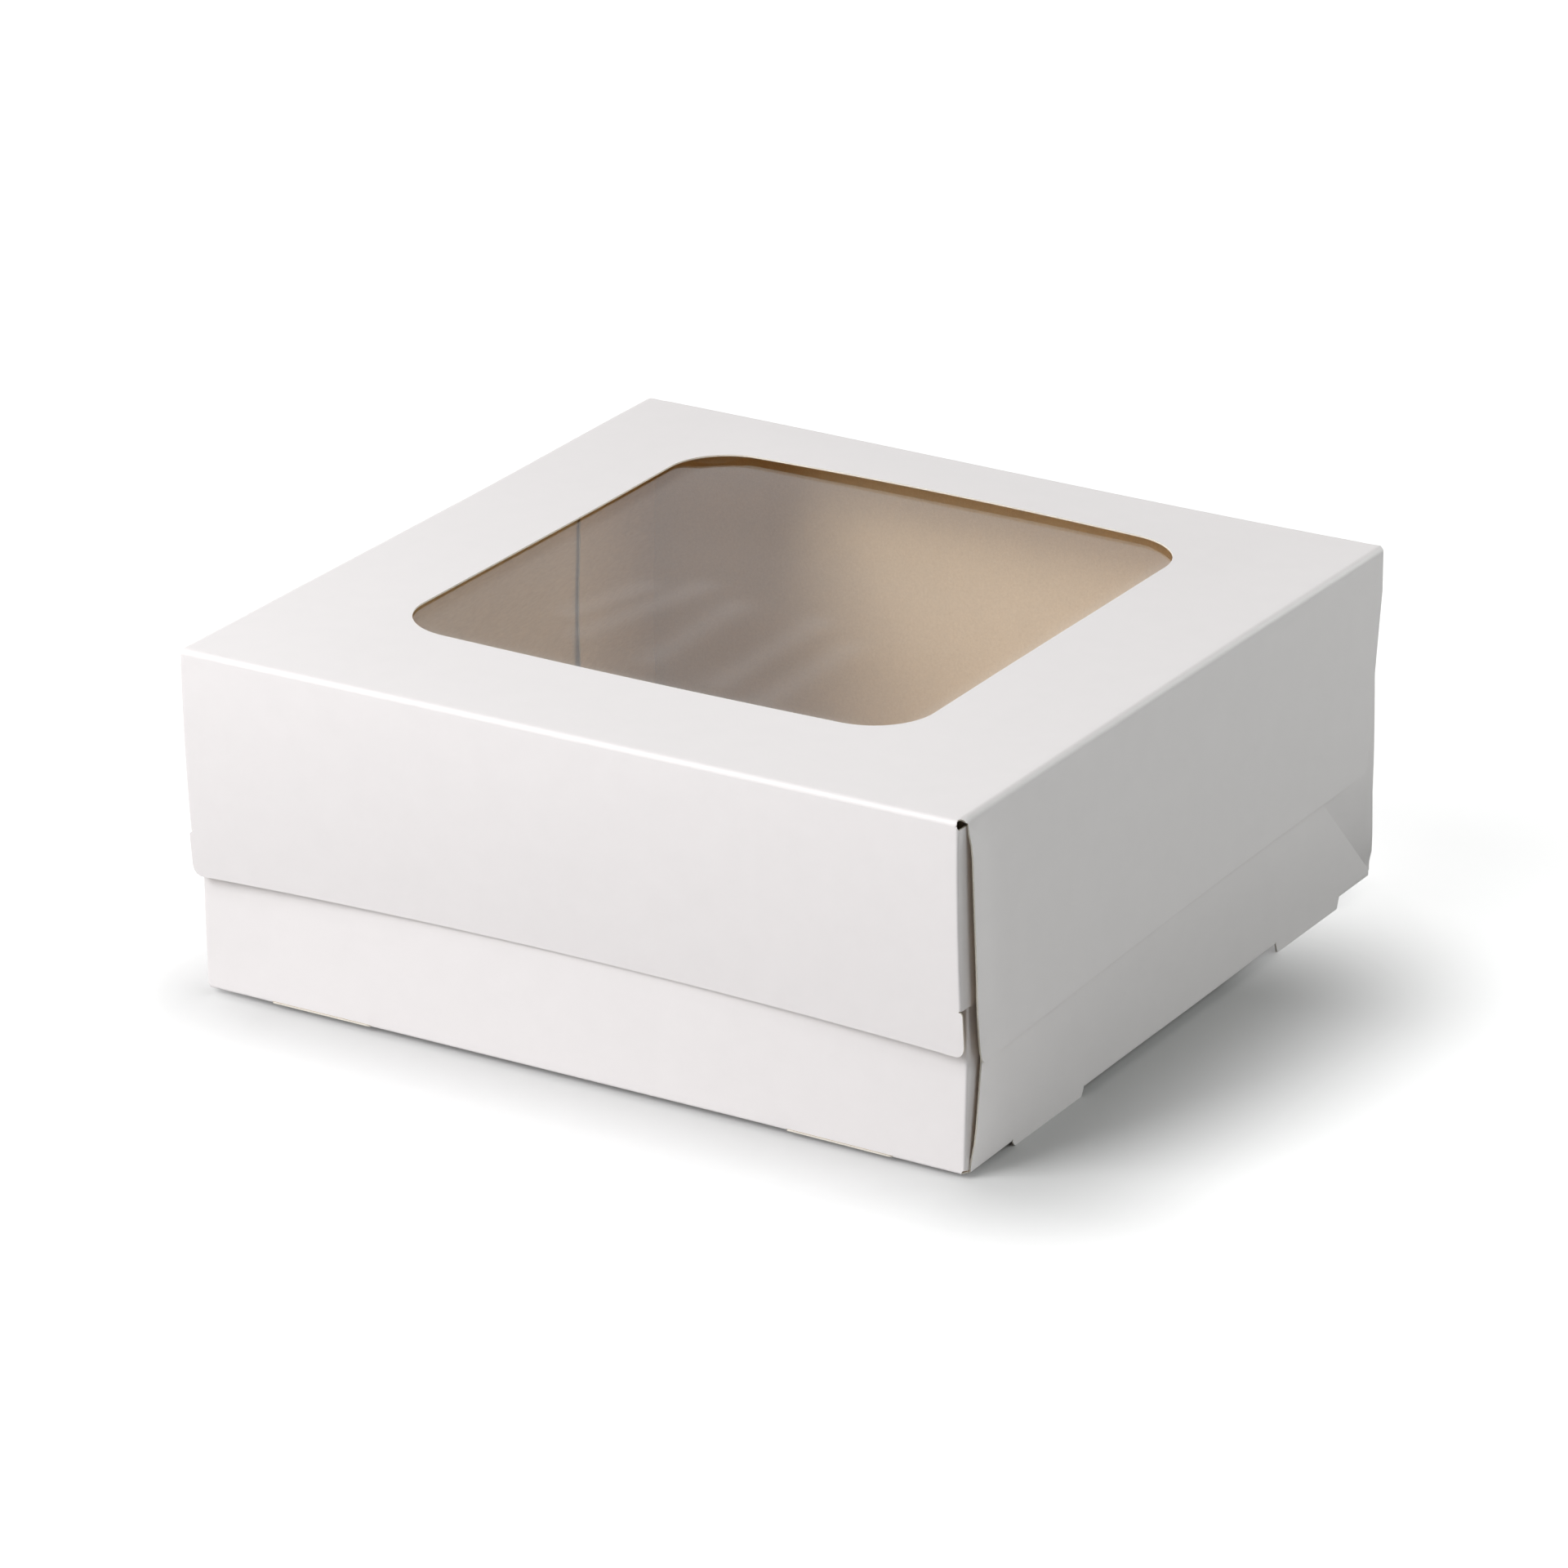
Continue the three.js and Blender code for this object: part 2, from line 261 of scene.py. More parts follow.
def round_corners(x0, x1, y0, y1, radius, steps=12):
    """A rectangle with round corners."""
    points = []
    for cx, cy, start in ((x1 - radius, y0 + radius, -90), (x1 - radius, y1 - radius, 0),
                          (x0 + radius, y1 - radius, 90), (x0 + radius, y0 + radius, 180)):
        for i in range(steps + 1):
            turn = math.radians(start + 90 * i / steps)
            points.append((cx + radius * math.cos(turn), cy + radius * math.sin(turn)))
    return points


def grown_window(margin, steps=12):
    x0, x1, y0, y1 = WINDOW
    return round_corners(x0 - margin, x1 + margin, y0 - margin, y1 + margin, WINDOW_RADIUS + margin, steps)


# How the real board bows and lifts, in millimetres

def arch_over(value, low, high):
    """A soft arch from 0 at low over 1 in the middle to 0 at high."""
    return math.sin(math.pi * min(1.0, max(0.0, (value - low) / (high - low))))


def lid_lift(x, y):
    """How far the lid stands above its flat place: its rear edge twists, the strip behind the window
    arches up and the strip in front of the window sags."""
    share = x / 100
    twist = (-0.15 - 1.2 * share + 0.3 * share ** 2 + 0.6 * share ** 3) * smooth(10, 100, y)
    across = arch_over(x, -72, 78)
    arch = 1.5 * across * smooth(20, 75, y) * (1 - smooth(80, 101, y))
    sag = -0.7 * across * (1 - smooth(-58, -10, y)) * smooth(-101, -70, y)
    return twist + arch + sag


def flap_bulge(y, depth):
    """How far a side flap of the lid stands out: it hangs outwards, and bows most at its middle."""
    share = max(0.0, depth) / 57
    across = 1 - ((y - 2) / 97) ** 2
    return 0.8 * share ** 1.3 + 1.1 * share ** 1.6 * max(0.0, across)


def flap_front_edge(depth):
    return LID_FRONT + SIDE_FLAP_SETBACK + SIDE_FLAP_BEVEL * depth + 1.3 * smooth(44, 60, depth)


def flap_spring(y, depth):
    """The front edge of a side flap springs off the tab behind it."""
    off = (y - flap_front_edge(depth)) / 6.5
    return 1.05 * math.exp(-off * off) * smooth(1.5, 9, depth) * (1 - 0.5 * smooth(38, 57, depth))


def front_flap_face(x, depth):
    """The outer face of the front flap: it leans back in a curve, and most in its middle."""
    middle = max(0.0, 1 - (x / 100) ** 2)
    return LID_FRONT + 0.00108 * depth ** 2 + 1.95 * middle * (depth / FRONT_FLAP_DEPTH) ** 1.5


def wall_bulge(y, z):
    """A side wall leans outwards between its two 45 degree creases, most just above the flap's lower edge."""
    reach = z - FLOOR_UNDER
    front = y - TRAY_FRONT - reach
    back = REAR - y - reach
    if front <= 0 or back <= 0:
        return 0.0
    share = front / (front + back)
    return 1.35 * 4 * share * (1 - share) * reach / 33 * (1 - smooth(30, 58, reach))


def gusset_spring(y, z):
    """The front edges of the side walls' front gussets spring off the tabs behind them."""
    reach = z - FLOOR_UNDER
    off = (y - TRAY_FRONT - WALL_SETBACK - WALL_BEVEL * reach) / 4.5
    return 0.85 * math.exp(-off * off) * smooth(1, 9, reach) * (1 - smooth(24, 55, reach))


def rear_lean(y, z):
    """The rear gussets lean outwards from the 45 degree crease to their rear edge."""
    reach = z - FLOOR_UNDER
    share = (reach - REAR + y) / max(4.0, reach - WALL_SETBACK)
    return 1.2 * max(0.0, share) * smooth(1, 9, reach) * (1 - smooth(30, 60, reach))


def tray_splay(z):
    """How far the tray's sides stand out of their upright place: most a third of the way up."""
    return 1.1 * (1 - smooth(30, 84, z)) - 0.35 * (1 - smooth(2, 30, z))


def tray_tilt(x, y, z):
    """The folded bottom is not quite level: it hangs low at the front and stands high at the rear."""
    low = -0.55 * (1 - smooth(-95, -10, y)) - 0.35 * smooth(40, 100, x) * (1 - smooth(-95, -50, y))
    return (low + 0.55 * smooth(0, 80, y)) * (1 - smooth(3, 45, z))


# Tray

def end_wall_place(front):
    """Front or rear wall: u across the box, v up, round the folds to the floor and to the corner tabs."""
    def place(u, v, inward):
        on, aside = folded(FLOOR_UNDER + WALL_FOLD - v, inward, WALL_FOLD)
        x, z = u, FLOOR_UNDER + WALL_FOLD - on
        turn_x = TAB_OUTER - WALL_FOLD
        if abs(u) > turn_x:
            on, aside = folded(abs(u) - turn_x, inward, WALL_FOLD)
            x = math.copysign(turn_x + on, u)
        x *= 1 + tray_splay(z) / TAB_OUTER
        if front:
            return x, TRAY_FRONT + aside, z + tray_tilt(x, TRAY_FRONT, z)
        return x, REAR - aside, z + tray_tilt(x, REAR, z) + lid_lift(x, REAR) * smooth(30, 85, v)
    return place


def end_wall_outline(top):
    """Front or rear wall with its bottom fold, the cuts over the tongues and the folds to its tabs."""
    low = FLOOR_UNDER + WALL_FOLD - quarter_turn(WALL_FOLD)
    turn = FLOOR_UNDER + WALL_FOLD
    cut = FLOOR_UNDER + BOARD + 0.06
    inner, outer = TONGUE[0] - TONGUE_GAP, TONGUE[1] + TONGUE_GAP
    straight = TAB_OUTER - WALL_FOLD
    end = straight + quarter_turn(WALL_FOLD)
    right = [(inner, low), (inner, cut), (outer, cut), (outer, low), (straight - 0.4, low),
             (straight - 0.2, turn), (straight, turn + 0.35), (end, turn + 0.45), (end, top - 0.35),
             (straight, top)]
    return right + [(-u, v) for u, v in reversed(right)]


def side_wall_place(side):
    def place(u, v, inward):
        """Side wall: u along the box, v up. It folds in to the floor, but its lips stand straight."""
        in_lip = any(low - 0.05 <= u <= high + 0.05 for low, high in (FRONT_LIP, REAR_LIP))
        turn = FLOOR_UNDER + WALL_FOLD
        if v < turn and not in_lip:
            on, aside = folded(turn - v, inward, WALL_FOLD)
            out = wall_bulge(u, turn) + rear_lean(u, turn) + tray_splay(turn)
            x, z = side * (TRAY_HALF - aside + out), turn - on
            return x, u, z + tray_tilt(x, u, z)
        out = wall_bulge(u, v) + gusset_spring(u, v) + rear_lean(u, v) + tray_splay(v)
        x = side * (TRAY_HALF - inward + out)
        return x, u, v + tray_tilt(x, u, v) * smooth(0, FLOOR_UNDER, v)
    return place


def side_wall_outline():
    """Side wall between its 45 degree creases, with two standing lips cut from the floor."""
    low = FLOOR_UNDER + WALL_FOLD - quarter_turn(WALL_FOLD)
    turn = FLOOR_UNDER + WALL_FOLD
    slit = 0.25
    reach = WALL_SETBACK / (1 - WALL_BEVEL)
    height = WALL_TOP - FLOOR_UNDER
    points = [(TRAY_FRONT + WALL_SETBACK, low)]
    for start, end in (FRONT_LIP, REAR_LIP):
        points += [(start - slit, low), (start - slit, turn), (start, turn), (start, FLOOR_UNDER),
                   (start + LIP_TAPER, 0.25), (start + LIP_TAPER + 0.4, 0.0), (end - LIP_TAPER - 0.4, 0.0),
                   (end - LIP_TAPER, 0.25), (end, FLOOR_UNDER), (end, turn), (end + slit, turn),
                   (end + slit, low)]
    points += [(REAR - WALL_SETBACK, low), (REAR - reach, FLOOR_UNDER + reach), (REAR - height, WALL_TOP),
               (TRAY_FRONT + height, WALL_TOP), (TRAY_FRONT + reach, FLOOR_UNDER + reach)]
    return points


def end_distance(end, distance):
    """A place along the box, given by its distance from the tray's front or rear corner."""
    return TRAY_FRONT + distance if end == "front" else REAR - distance


def gusset_outline(end):
    reach = WALL_SETBACK / (1 - WALL_BEVEL)
    height = WALL_TOP - FLOOR_UNDER
    return [(end_distance(end, reach), FLOOR_UNDER + reach),
            (end_distance(end, height), WALL_TOP),
            (end_distance(end, WALL_SETBACK + WALL_BEVEL * height), WALL_TOP)]


def tab_curl(end, y, z):
    """The free edge of a corner tab lifts off the wall behind it, most near the floor."""
    free = end_distance(end, TAB_LENGTH)
    off = abs(y - free) / 7
    return math.exp(-off * off) * (0.6 * (1 - 0.6 * smooth(66, 84, z)) + 0.6 * (1 - smooth(26, 42, z)))


def tab_place(side, end):
    def place(u, v, inward):
        x = side * (TAB_OUTER - inward - tab_curl(end, u, v) + tray_splay(v))
        return x, u, v + tray_tilt(x, u, v)
    return place


def tab_outline(end):
    """Corner tab of a front or rear wall, from the end of its fold."""
    low = FLOOR_UNDER + BOARD + 0.3
    start = end_distance(end, WALL_FOLD)
    top = WALL_TOP - (0.35 if end == "rear" else 0.0)
    return [(start, low + 0.5), (end_distance(end, WALL_FOLD + 0.6), low),
            (end_distance(end, TAB_FOOT), low),
            (end_distance(end, TAB_LENGTH), FLOOR_UNDER + TAB_CHAMFER),
            (end_distance(end, TAB_LENGTH), WALL_TOP - TAB_BEVEL),
            (end_distance(end, TAB_LENGTH - TAB_BEVEL), WALL_TOP), (start, top)]


def floor_outline():
    """Floor between the folds, with the tongues that run out under the front and rear walls."""
    x = TRAY_HALF - WALL_FOLD
    front, back = TRAY_FRONT + WALL_FOLD, REAR - WALL_FOLD
    inner, outer = TONGUE
    return [(-x + 0.7, front), (-outer, front), (-outer, TRAY_FRONT), (-inner, TRAY_FRONT), (-inner, front),
            (inner, front), (inner, TRAY_FRONT), (outer, TRAY_FRONT), (outer, front), (x - 0.7, front),
            (x, front + 1.2), (x, back - 1.2), (x - 0.7, back),
            (outer, back), (outer, REAR), (inner, REAR), (inner, back),
            (-inner, back), (-inner, REAR), (-outer, REAR), (-outer, back), (-x + 0.7, back),
            (-x, back - 1.2), (-x, front + 1.2)]


# Lid

def lid_place(u, v, inward):
    """Top panel: it turns down into its front and side folds."""
    over_x = abs(u) - (LID_HALF - LID_FOLD)
    over_y = LID_FRONT + LID_FOLD - v
    lift = lid_lift(u, v)
    if over_x <= 0 and over_y <= 0:
        return u, v, LID_TOP - inward + lift
    if over_y <= 0:
        on, aside = folded(over_x, inward, LID_FOLD)
        return math.copysign(LID_HALF - LID_FOLD + on, u), v, LID_TOP - aside + lift
    if over_x <= 0:
        on, aside = folded(over_y, inward, LID_FOLD)
        return u, LID_FRONT + LID_FOLD - on, LID_TOP - aside + lift
    reach = math.hypot(over_x, over_y)
    on, aside = folded(reach, inward, LID_FOLD)
    x = math.copysign(LID_HALF - LID_FOLD + on * over_x / reach, u)
    return x, LID_FRONT + LID_FOLD - on * over_y / reach, LID_TOP - aside + lift


def lid_outline():
    """Top panel with its folds, rounded off at the relief holes of the front corners."""
    front = LID_FRONT + LID_FOLD - quarter_turn(LID_FOLD)
    x = LID_HALF - LID_FOLD + quarter_turn(LID_FOLD)
    flat_x = LID_HALF - LID_FOLD
    back = REAR - REAR_FOLD
    hole = [(flat_x + past, y) for past, y in RELIEF_HOLE]
    right = [(flat_x + 0.5, front), *hole, (x - 0.3, SIDE_FOLD_FRONT + 0.1), (x, SIDE_FOLD_FRONT + 0.6),
             (x, SIDE_FOLD_REAR), (flat_x + 0.4, SIDE_FOLD_REAR), (flat_x, back)]
    return right + [(-u, v) for u, v in reversed(right)]


def lid_crease_place(u, v, inward):
    """The hinge: the board's quarter turn from the top panel down into the rear wall."""
    on, aside = folded(v, inward, REAR_FOLD)
    return u, REAR - REAR_FOLD + on, LID_TOP - aside + lid_lift(u, REAR)


def front_flap_place(u, v, inward):
    """Front flap: u across the box, v the depth below the lid's top. It is flat below its tabs."""
    straight = LID_TAB_OUTER - WALL_FOLD
    z = LID_TOP - v + lid_lift(max(-LID_HALF, min(LID_HALF, u)), LID_FRONT)
    if abs(u) > straight and v < LID_TAB_DEPTH + 0.2:
        on, aside = folded(abs(u) - straight, inward, WALL_FOLD)
        return math.copysign(straight + on, u), front_flap_face(straight, v) + aside, z
    return u, front_flap_face(u, v) + inward, z


def front_flap_outline():
    """Front flap with its tab folds, a slit under each tab and round lower corners."""
    straight = LID_TAB_OUTER - WALL_FOLD
    end = straight + quarter_turn(WALL_FOLD)
    free = LID_TAB_OUTER + 0.25
    right = [(straight + 0.3, LID_FOLD), (straight + 0.35, 1.8), (end, LID_TAB_TOP), (end, LID_TAB_DEPTH),
             (straight + 0.02, LID_TAB_DEPTH), (straight + 0.02, LID_TAB_DEPTH + 0.3),
             (free - 0.4, LID_TAB_DEPTH + 0.4), (free, LID_TAB_DEPTH + 0.9), (free, FRONT_FLAP_DEPTH - 2.6),
             (free - 0.3, FRONT_FLAP_DEPTH - 1.4), (free - 0.9, FRONT_FLAP_DEPTH - 0.5),
             (free - 1.9, FRONT_FLAP_DEPTH)]
    lower = []
    reach = free - 1.9
    for x in even(-reach, reach, 6.0)[1:-1]:
        lower.append((-x, FRONT_FLAP_DEPTH - FRONT_FLAP_ARCH * (1 - (x / LID_TAB_OUTER) ** 2)))
    return right + lower + [(-u, v) for u, v in reversed(right)]


def lid_tab_place(side):
    def place(u, v, inward):
        lift = lid_lift(side * LID_HALF, u)
        out = flap_bulge(u, v) * smooth(LID_FRONT + 2, LID_FRONT + 14, u)
        return side * (LID_TAB_OUTER - inward + out), u, LID_TOP - v + lift
    return place


def lid_tab_outline():
    """Tab of the front flap, with its upper edge cut at 45 degrees."""
    def fold_line(depth):
        return front_flap_face(LID_TAB_OUTER - WALL_FOLD, depth) + WALL_FOLD
    back = LID_FRONT + LID_TAB_LENGTH
    front = [(fold_line(depth), depth) for depth in reversed(even(LID_TAB_TOP, LID_TAB_DEPTH, 5.0))]
    return [(LID_FRONT + 13.6, LID_TAB_TOP), (back, 22.7), (back, LID_TAB_DEPTH)] + front


def side_flap_place(side):
    def place(u, v, inward):
        out = flap_bulge(u, v) + flap_spring(u, v)
        return side * (LID_HALF - inward + out), u, LID_TOP - v + lid_lift(side * LID_HALF, u)
    return place


def flap_lower_edge(share):
    """The lower edge of a side flap, from its front corner to its rear corner."""
    y0, d0 = flap_front_edge(SIDE_FLAP_FRONT_DEPTH), SIDE_FLAP_FRONT_DEPTH
    y1, d1 = REAR - SIDE_FLAP_REAR_FOOT, SIDE_FLAP_REAR_DEPTH
    sag = 4 * SIDE_FLAP_SAG * share * (1 - share)
    return between(y0, y1, share), between(d0, d1, share) - sag


def crease_foot():
    """Share of the lower edge at which the 45 degree crease reaches it."""
    low, high = 0.0, 1.0
    for _ in range(40):
        middle = (low + high) / 2
        y, depth = flap_lower_edge(middle)
        if y < LID_FRONT + FLAP_CREASE_START + depth:
            low = middle
        else:
            high = middle
    return (low + high) / 2


def crease_head():
    """Where the 45 degree crease leaves the front edge of a side flap."""
    depth = (SIDE_FLAP_SETBACK - FLAP_CREASE_START) / (1 - SIDE_FLAP_BEVEL)
    return flap_front_edge(depth), depth


def side_flap_outline():
    foot = crease_foot()
    lower = [flap_lower_edge(between(foot, 0.985, i / 24)) for i in range(25)]
    rear_y, rear_depth = flap_lower_edge(1.0)
    return [(SIDE_FOLD_FRONT + 0.6, LID_FOLD), crease_head(), *lower,
            (rear_y, rear_depth - 0.3), (rear_y + 0.5, rear_depth - 2.2), (SIDE_FOLD_REAR, 11.0),
            (SIDE_FOLD_REAR, LID_FOLD)]


def flap_gusset_outline():
    foot = crease_foot()
    corner = 0.02
    lower = [flap_lower_edge(between(corner, foot, i / 8)) for i in range(9)]
    depth = SIDE_FLAP_FRONT_DEPTH
    edge = [(flap_front_edge(down), down) for down in even(6.0, depth - 3.2, 5.0)]
    rounding = [(flap_front_edge(depth) + 0.15, depth - 1.5), (flap_front_edge(depth) + 1.2, depth - 0.45)]
    return [crease_head(), *edge, *rounding, *lower]


# Glue patches between the tabs and the gussets outside them

def glue_patch(start, tab_length, tab_reach, bevel, setback):
    """Outline of a glue patch by distance from the corner and reach from the fold, kept off all edges."""
    first = (setback + 2 * GLUE_MARGIN - start) / (1 - bevel)
    far, last = tab_length - GLUE_MARGIN, tab_reach - GLUE_MARGIN
    return [(setback + bevel * first + GLUE_MARGIN, first), (far, far - start + GLUE_MARGIN), (far, last),
            (setback + bevel * last + GLUE_MARGIN, last)]


def tray_glue_outline(end):
    patch = glue_patch(0.0, TAB_LENGTH, WALL_TOP - FLOOR_UNDER - TAB_BEVEL, WALL_BEVEL, WALL_SETBACK)
    return [(end_distance(end, distance), FLOOR_UNDER + reach) for distance, reach in patch]


def tray_glue_place(side):
    def place(u, v, inward):
        return side * (TAB_OUTER + GLUE - inward + tray_splay(v)), u, v
    return place


def lid_glue_outline():
    patch = glue_patch(FLAP_CREASE_START, LID_TAB_LENGTH, LID_TAB_DEPTH, SIDE_FLAP_BEVEL, SIDE_FLAP_SETBACK)
    return [(LID_FRONT + distance, depth) for distance, depth in patch]


def lid_glue_place(side):
    def place(u, v, inward):
        x = side * (LID_TAB_OUTER + GLUE - inward + flap_bulge(u, v))
        return x, u, LID_TOP - v + lid_lift(side * LID_HALF, u)
    return place


# Materials

def linear(hex_colour):
    """A linear colour from an sRGB hex value."""
    parts = [int(hex_colour[i:i + 2], 16) / 255 for i in (1, 3, 5)]
    return (*[p / 12.92 if p <= 0.04045 else ((p + 0.055) / 1.055) ** 2.4 for p in parts], 1.0)


def add(tree, kind, values=None, links=None, **settings):
    """Adds a node with its settings, the values of its inputs and the links into it."""
    node = tree.nodes.new(kind)
    for name, value in settings.items():
        setattr(node, name, value)
    for name, value in (values or {}).items():
        node.inputs[name].default_value = value
    for name, source in (links or {}).items():
        tree.links.new(source, node.inputs[name])
    return node


def new_material(name):
    material = bpy.data.materials.new(name)
    material.use_nodes = True
    material.node_tree.nodes.clear()
    return material, material.node_tree


def finish_material(tree, shader):
    add(tree, "ShaderNodeOutputMaterial", links={"Surface": shader})


def coated_white_board():
    """Clay-coated white top of folding boxboard: an even, faintly satin white with the slightest cloudiness.

    The clouds are about 7 mm across and the fine unevenness of the coating about 1 mm."""
    material, tree = new_material("clay_coated_white_boxboard")
    place = add(tree, "ShaderNodeTexCoord").outputs["Object"]
    cloud = add(tree, "ShaderNodeTexNoise", {"Scale": 140.0, "Detail": 4.0, "Roughness": 0.6},
                {"Vector": place})
    tone = add(tree, "ShaderNodeMix", {6: linear("#EEEAEA"), 7: linear("#F2EEEE")}, {0: cloud.outputs["Fac"]},
               data_type="RGBA")
    sheen = add(tree, "ShaderNodeMapRange", {"To Min": 0.42, "To Max": 0.52}, {"Value": cloud.outputs["Fac"]})
    peel = add(tree, "ShaderNodeTexNoise", {"Scale": 900.0, "Detail": 2.0}, {"Vector": place})
    bump = add(tree, "ShaderNodeBump", {"Strength": 0.12, "Distance": 0.00004},
               {"Height": peel.outputs["Fac"]})
    shader = add(tree, "ShaderNodeBsdfPrincipled", {"IOR": 1.5},
                 {"Base Color": tone.outputs[2], "Roughness": sheen.outputs[0], "Normal": bump.outputs[0]})
    finish_material(tree, shader.outputs[0])
    return material


def kraft_back():
    """Uncoated kraft back of the board: warm tan, matt, with long fibres and darker flecks.

    The fibres are about 0.6 mm thick and 2.5 mm long, coarser than real ones so that they show."""
    material, tree = new_material("uncoated_kraft_back")
    place = add(tree, "ShaderNodeTexCoord").outputs["Object"]
    grain = add(tree, "ShaderNodeMapping", {"Scale": (1.0, 0.22, 1.0)}, {"Vector": place})
    fibre = add(tree, "ShaderNodeTexNoise",
                {"Scale": 1800.0, "Detail": 5.0, "Roughness": 0.65, "Distortion": 0.8},
                {"Vector": grain.outputs[0]})
    cloud = add(tree, "ShaderNodeTexNoise", {"Scale": 70.0, "Detail": 3.0}, {"Vector": place})
    tone = add(tree, "ShaderNodeValToRGB", links={"Fac": fibre.outputs["Fac"]})
    tone.color_ramp.elements[0].position = 0.28
    tone.color_ramp.elements[0].color = linear("#D6BA92")
    tone.color_ramp.elements[1].position = 0.72
    tone.color_ramp.elements[1].color = linear("#F0D9B6")
    mottled = add(tree, "ShaderNodeMix", {0: 0.35, 7: linear("#E4CAA4")}, {6: tone.outputs[0]},
                  data_type="RGBA")
    shade = add(tree, "ShaderNodeMapRange", {"To Min": 0.94, "To Max": 1.05}, {"Value": cloud.outputs["Fac"]})
    colour = add(tree, "ShaderNodeHueSaturation",
                 links={"Color": mottled.outputs[2], "Value": shade.outputs[0]})
    bump = add(tree, "ShaderNodeBump", {"Strength": 0.25, "Distance": 0.00005},
               {"Height": fibre.outputs["Fac"]})
    shader = add(tree, "ShaderNodeBsdfPrincipled", {"IOR": 1.45, "Roughness": 0.88},
                 {"Base Color": colour.outputs[0], "Normal": bump.outputs[0]})
    finish_material(tree, shader.outputs[0])
    return material


def die_cut_edge():
    """Raw die-cut edge of the board: pale, dry pulp with short torn fibres, about 0.4 mm across."""
    material, tree = new_material("die_cut_board_edge")
    place = add(tree, "ShaderNodeTexCoord").outputs["Object"]
    pulp = add(tree, "ShaderNodeTexNoise", {"Scale": 2600.0, "Detail": 3.0}, {"Vector": place})
    tone = add(tree, "ShaderNodeMix", {6: linear("#DDD6C9"), 7: linear("#F1ECE2")}, {0: pulp.outputs["Fac"]},
               data_type="RGBA")
    bump = add(tree, "ShaderNodeBump", {"Strength": 0.4, "Distance": 0.00004},
               {"Height": pulp.outputs["Fac"]})
    shader = add(tree, "ShaderNodeBsdfPrincipled", {"IOR": 1.45, "Roughness": 0.9},
                 {"Base Color": tone.outputs[2], "Normal": bump.outputs[0]})
    finish_material(tree, shader.outputs[0])
    return material


def dried_glue():
    """Dried white carton glue: a cream, slightly glossy film with drag marks about 2.5 mm apart."""
    material, tree = new_material("dried_carton_glue")
    place = add(tree, "ShaderNodeTexCoord").outputs["Object"]
    drag = add(tree, "ShaderNodeTexNoise", {"Scale": 420.0, "Detail": 3.0, "Distortion": 1.2},
               {"Vector": place})
    tone = add(tree, "ShaderNodeMix", {6: linear("#DCD3BE"), 7: linear("#EDE7D8")}, {0: drag.outputs["Fac"]},
               data_type="RGBA")
    bump = add(tree, "ShaderNodeBump", {"Strength": 0.5, "Distance": 0.00006},
               {"Height": drag.outputs["Fac"]})
    shader = add(tree, "ShaderNodeBsdfPrincipled", {"IOR": 1.47, "Roughness": 0.34},
                 {"Base Color": tone.outputs[2], "Normal": bump.outputs[0]})
    finish_material(tree, shader.outputs[0])
    return material


def clear_film():
    """Clear drawn polypropylene film: unseen head-on, a mirror at a low angle, and more of a mirror along its
    ridges, a painted reflection of the light that its creases catch.
    """
    material, tree = new_material("clear_polypropylene_film")
    glint_mask = add(tree, "ShaderNodeAttribute", attribute_name="ridge_glint")
    mirror = add(tree, "ShaderNodeFresnel", {"IOR": 1.49})
    face = add(tree, "ShaderNodeNewGeometry")
    upper = add(tree, "ShaderNodeMath", {0: 1.0}, {1: face.outputs["Backfacing"]}, operation="SUBTRACT",
                use_clamp=True)
    seen = add(tree, "ShaderNodeMath", {2: 0.01}, {0: mirror.outputs[0], 1: upper.outputs[0]},
               operation="MULTIPLY_ADD")
    # More mirror along the film's ridges: painted reflection of the light that the creases catch
    share = add(tree, "ShaderNodeMath", links={0: seen.outputs[0], 1: glint_mask.outputs["Fac"]}, operation="ADD",
                use_clamp=True)
    through = add(tree, "ShaderNodeBsdfTransparent", {"Color": linear("#FCFCFC")})
    gloss = add(tree, "ShaderNodeBsdfPrincipled",
                {"Base Color": linear("#FAFBFB"), "Metallic": 1.0, "Roughness": 0.06})
    shader = add(tree, "ShaderNodeMixShader",
                 links={0: share.outputs[0], 1: through.outputs[0], 2: gloss.outputs[0]})
    finish_material(tree, shader.outputs[0])
    return material


WHITE = coated_white_board()
KRAFT = kraft_back()
EDGE = die_cut_edge()
GLUE_FINISH = dried_glue()
FILM_FINISH = clear_film()
BOARD_FINISH = (WHITE, KRAFT, EDGE)


def settle(piece, body, node, finishes):
    """Gives a piece its materials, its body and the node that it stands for."""
    for finish in finishes:
        piece.data.materials.append(finish)
    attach(piece, body)
    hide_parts(node)


# The tray's pieces

def wall_rows(top):
    """Rows up a tray wall: close together in the bottom fold, then wide."""
    turn = FLOOR_UNDER + WALL_FOLD
    low = turn - quarter_turn(WALL_FOLD)
    fold = [between(low, turn, i / FOLD_ROWS) for i in range(FOLD_ROWS + 1)]
    return fold + [turn + 0.6] + even(turn + 3, top - 1, 5.0)


def across_columns(straight, radius):
    """Columns across the box: close together in the folds at both ends."""
    end = straight + quarter_turn(radius)
    fold = [between(straight, end, i / FOLD_ROWS) for i in range(FOLD_ROWS + 1)]
    middle = even(-straight + 3, straight - 3, 5.0)
    return [-x for x in reversed(fold)] + [-straight + 0.6] + middle + [straight - 0.6] + fold


def floor_place(u, v, inward):
    x = u * (1 + tray_splay(FLOOR_UNDER) / TRAY_HALF)
    return x, v, FLOOR_UNDER + inward + tray_tilt(x, v, FLOOR_UNDER)


floor = sheet("floor_panel_sheet", floor_outline(), floor_place, even(-96, 96, 8.0), even(-92, 98, 8.0))
settle(floor, "tray", "floor_panel", BOARD_FINISH)

